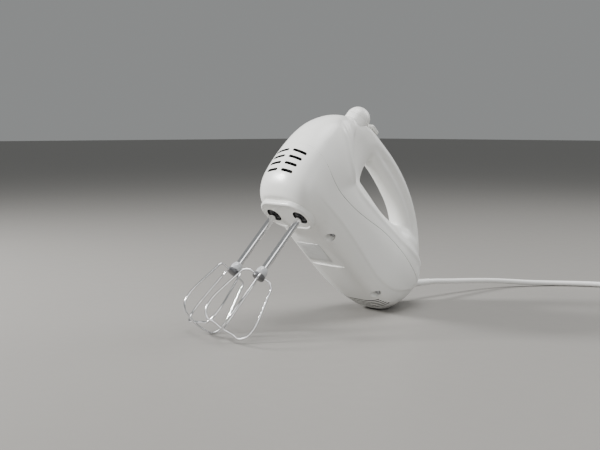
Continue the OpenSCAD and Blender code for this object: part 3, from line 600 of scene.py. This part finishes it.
screws = []
for y, top in SCREWS:
    for s in (-1, 1):
        shank = lathe([(1.9, 11.5), (3.0, 11.6), (3.4, 12.3), (3.4, 13.6), (3.2, 13.98),
                       (1.55, 14), (1.55, top - 3), (0.6, top)], 40, (s * SCREW_X, y))
        for w, d in ((3.6, 0.9), (0.9, 3.6)):
            bar = moved(prism(rounded_outline(w, d, 0.2), 10, 12.7), (s * SCREW_X, y, 0))
            shank = boolean(shank, bar, "DIFFERENCE")
        screws.append(shank)
finished("case_screws", merge(*screws), "screw_steel", "housing", "housing_screws", sharp=30)

# ---- beaters --------------------------------------------------------------------
COLLAR = -74
STEM_R, WIRE_R, TIP = 3.5, 1.1, 144


def hexagon(z, r):
    """Ring of 48 points on a hexagon with softened corners."""
    pts = []
    for k in range(48):
        a = 2 * math.pi * k / 48
        m = (a % (math.pi / 3)) - math.pi / 6
        flat = r * math.cos(math.pi / 6) / math.cos(m)
        pts.append((min(flat, r * 0.985) * math.cos(a), min(flat, r * 0.985) * math.sin(a), z))
    return pts


def round_ring(z, r):
    return [(r * math.cos(2 * math.pi * k / 48), r * math.sin(2 * math.pi * k / 48), z) for k in range(48)]


def stem():
    return loft([round_ring(COLLAR, STEM_R), round_ring(-30, STEM_R), round_ring(28.8, STEM_R),
                 round_ring(29.6, STEM_R * 0.97), hexagon(30.2, STEM_R), hexagon(46.2, STEM_R),
                 hexagon(47, STEM_R - 0.8)])


def loop(angle, lift):
    half = [[5, COLLAR - 3.38 + lift], [11, COLLAR - 3.38 + lift], [15.5, COLLAR - 4], [17.6, COLLAR - 7.5],
            [18.6, COLLAR - 13], [21.8, -102], [24.6, -117], [24.9, -127], [23.2, -134.5], [18, -140],
            [10, 1 - TIP + WIRE_R + lift], [0, WIRE_R - TIP + lift]]
    outline = half + [[-x, z] for x, z in half[-2::-1]]
    path = curve([(x, 0, z) for x, z in outline], 6)
    c, s = math.cos(math.radians(angle)), math.sin(math.radians(angle))
    return turned(sweep(path, WIRE_R, (0, 1, 0), 14), [[c, -s, 0], [s, c, 0], [0, 0, 1]])


def collar():
    tube = lathe([(5.2, COLLAR), (5.65, COLLAR + 0.3), (5.8, COLLAR + 1), (5.8, COLLAR + 4),
                  (5.5, COLLAR + 4.8), (4.7, COLLAR + 7.4), (4.3, COLLAR + 8)], 64)
    return boolean(tube, lathe([(STEM_R, COLLAR - 1), (STEM_R, COLLAR + 9)], 64), "DIFFERENCE")


def ring():
    z = COLLAR - 4.5
    return lathe([(5.4, z), (6.1, z + 0.3), (6.4, z + 1), (6.4, z + 3.6), (6.1, z + 4.3),
                  (5.5, z + 4.5)], 64)


for name, x, phase in (("left", BEATER_X, -38), ("right", -BEATER_X, 79)):
    body = name + "_beater"
    for piece, part, slot_name, node in (
            ("stem", stem(), "beater_chrome", "beater_stem"),
            ("collar", collar(), "collar_plastic", "beater_collar"),
            ("ring", ring(), "ring_dark", "beater_ring"),
            ("long_loop", loop(phase, 0), "beater_chrome", "whisk_long"),
            ("short_loop", loop(phase + 90, 2.25), "beater_chrome", "whisk_short")):
        finished(name + "_" + piece, moved(part, (x, 0, 0)), slot_name, body, name + "_" + node)

# ---- cord -----------------------------------------------------------------------
CORD_R = 3.25
OUTSIDE = 46
TIP_Y = FACE[1] + (EXIT_Y + EXIT_Z) * math.cos(TILT) + OUTSIDE * math.cos(DIP)
TIP_Z = FACE[2] + (EXIT_Z - EXIT_Y) * math.sin(TILT) - OUTSIDE * math.sin(DIP)
tip = np.array([FACE[0], TIP_Y, 0])
ROUTE = [
    [0, 0, TIP_Z], [0.3, 12, 18.5], [1.5, 30, 16.7], [3.5, 52, 14.7], [7, 82, 12.2],
    [12, 110, 9.6], [21, 135, 7], [36, 160, 4.6], [55, 185, 3.4], [78, 206, 3.3], [104, 223, 3.3],
    [134, 233, 3.3], [166, 235, 3.3], [198, 227, 3.3], [226, 211, 3.3], [244, 191, 3.3]]
COIL = np.array([214, 149])
lead_in = [tip + np.array([0, -8, TIP_Z])] + [tip + np.array(p) for p in ROUTE]
# Three turns and a bit, clockwise from above: outside, inside, then up and back out
TURN_STATIONS = [
    [30, 45.3, 3.3], [-15, 41.5, 3.5], [-70, 39.4, 3.8], [-250, 39.4, 3.8], [-330, 36.5, 3.8],
    [-390, 32.8, 3.8], [-560, 32.8, 3.8], [-640, 32.8, 5.5], [-690, 32.8, 10.3], [-860, 32.8, 10.3],
    [-930, 36, 10.3], [-990, 39.3, 10.3], [-1050, 39.3, 9.8], [-1080, 39.3, 9.2]]
coil_pts = []
stations = np.array(TURN_STATIONS)
for a in np.arange(30, -1080.1, -18.5):
    r = np.interp(-a, -stations[:, 0], stations[:, 1])
    z = np.interp(-a, -stations[:, 0], stations[:, 2])
    q = math.radians(a)
    coil_pts.append([tip[0] + COIL[0] + r * math.cos(q), tip[1] + COIL[1] + r * math.sin(q), z])
tail_x = tip[0] + COIL[0] + 39.3
end = [[tail_x, tip[1] + COIL[1] - back_y, z] for back_y, z in ((12, 7.9), (24, 7.1), (32, 7))]
route = np.array(lead_in + coil_pts + end)
spline_obj = bpy.data.curves.new("mains_cord", "CURVE")
spline_obj.dimensions = "3D"
spline = spline_obj.splines.new("POLY")
smooth = curve(route, 4)
spline.points.add(len(smooth) - 1)
for i, p in enumerate(smooth):
    spline.points[i].co = (*(p / 1000), 1)
spline_obj.bevel_depth = CORD_R / 1000
spline_obj.bevel_resolution = 5
spline_obj.use_fill_caps = True
cord = bpy.data.objects.new("mains_cord", spline_obj)
bpy.context.collection.objects.link(cord)
cord.data.materials.append(MAT["cord_white"])
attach(cord, "housing")
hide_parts("power_cord", "cord_coil")

# Strain relief: a smooth sleeve that tapers along the cord, with a lip at each end
profile = [(6.3, -12), (6.5, -11.6), (6.5, -9.4), (4.9, -9), (4.9, 6)]
profile += [(4.9 - 1.15 * t ** 0.8, 6 + 38.6 * t) for t in np.linspace(0.05, 1, 20)]
profile += [(3.9, 44.9), (3.85, 45.6), (3.4, 46)]
relief = lathe(profile, 56)
bore = lathe([(CORD_R, -13), (CORD_R, -2)], 56)
relief = boolean(relief, bore, "DIFFERENCE")
relief = turned(relief, ALONG_EXIT, (0, EXIT_Y, EXIT_Z))
relief_obj = finished("relief_sleeve", relief, "cord_white", "housing", "strain_relief", sharp=30)

# Plug: flat moulded body with finger flutes, and pins with sleeves
plug_at = tip + np.array([253.2, 78, 7])
rings = []
for y, w, h, r in ((0, 25, 11, 4.5), (0.8, 27.5, 13, 5.5), (3, 28.4, 13.7, 6),
                   (8, 28.6, 14, 6.2), (14, 27.6, 13.8, 6.2),
                   (20, 24, 13.2, 6), (25, 19, 12.4, 5.8), (29, 14.6, 11.6, 5.6), (31.5, 12.4, 11, 5.4)):
    rings.append([(x, y, z) for x, z in rounded_outline(w, h, min(r, h / 2 - 0.05))])
plug = loft(rings)
neck = [(5.5, 28), (5.45, 33)]
z = 33.4
while z < 46:
    r = 5.3 - (z - 33) * 0.09
    neck += [(r, z), (r, z + 1.4), (r - 0.6, z + 1.6), (r - 0.6, z + 2.3)]
    z += 2.5
neck += [(4.1, z), (3.9, 48)]
neck = turned(lathe(neck, 48), [[1, 0, 0], [0, 0, 1], [0, -1, 0]])
plug = boolean(plug, neck, "UNION")
flutes = merge(*[moved(lathe([(0.7, -4), (0.7, 4)], 16), (sx * 14.4, 6 + 2.4 * i, 0))
                 for sx in (-1, 1) for i in range(4)])
plug = boolean(plug, flutes, "DIFFERENCE")
plug_obj = finished("plug_shell", moved(plug, plug_at), "cord_white", "housing", "plug_body",
                    sharp=30, world_points=True)
pin = turned(lathe([(0.9, -19), (1.6, -18.6), (2, -17.6), (2, -10), (1.9, -9.9), (1.9, 0.5)], 32),
             [[1, 0, 0], [0, 0, 1], [0, -1, 0]])
pins = merge(*[moved(pin, plug_at + np.array([x, 0, 0])) for x in (-9.3, 9.3)])
pins_obj = finished("plug_contacts", pins, "plug_metal", "housing", "plug_pins", sharp=30, world_points=True)

# Tie: a flat strap round the four strands
a = math.radians(300)
band = []
for w, h in ((13.6, 13.2), ):
    for y in (-3, -2.8, 2.8, 3):
        g = 0.0 if abs(y) < 2.9 else 0.15
        band.append([(x, y, z) for x, z in rounded_outline(15.2 - 2 * g, 14.6 - 2 * g, 3.6)])
strap = loft(band)
core = loft([[(x, y, z) for x, z in rounded_outline(14.2, 13.5, 3.1)] for y in (-5, 5)])
strap = boolean(strap, core, "DIFFERENCE")
strap = turned(strap, [[math.cos(a), -math.sin(a), 0], [math.sin(a), math.cos(a), 0], [0, 0, 1]],
               (tip[0] + COIL[0] + 36 * math.cos(a), tip[1] + COIL[1] + 36 * math.sin(a), 7.35))
tie = finished("cord_tie", strap, "tie_dark", "housing", "coil_tie", sharp=30, world_points=True)
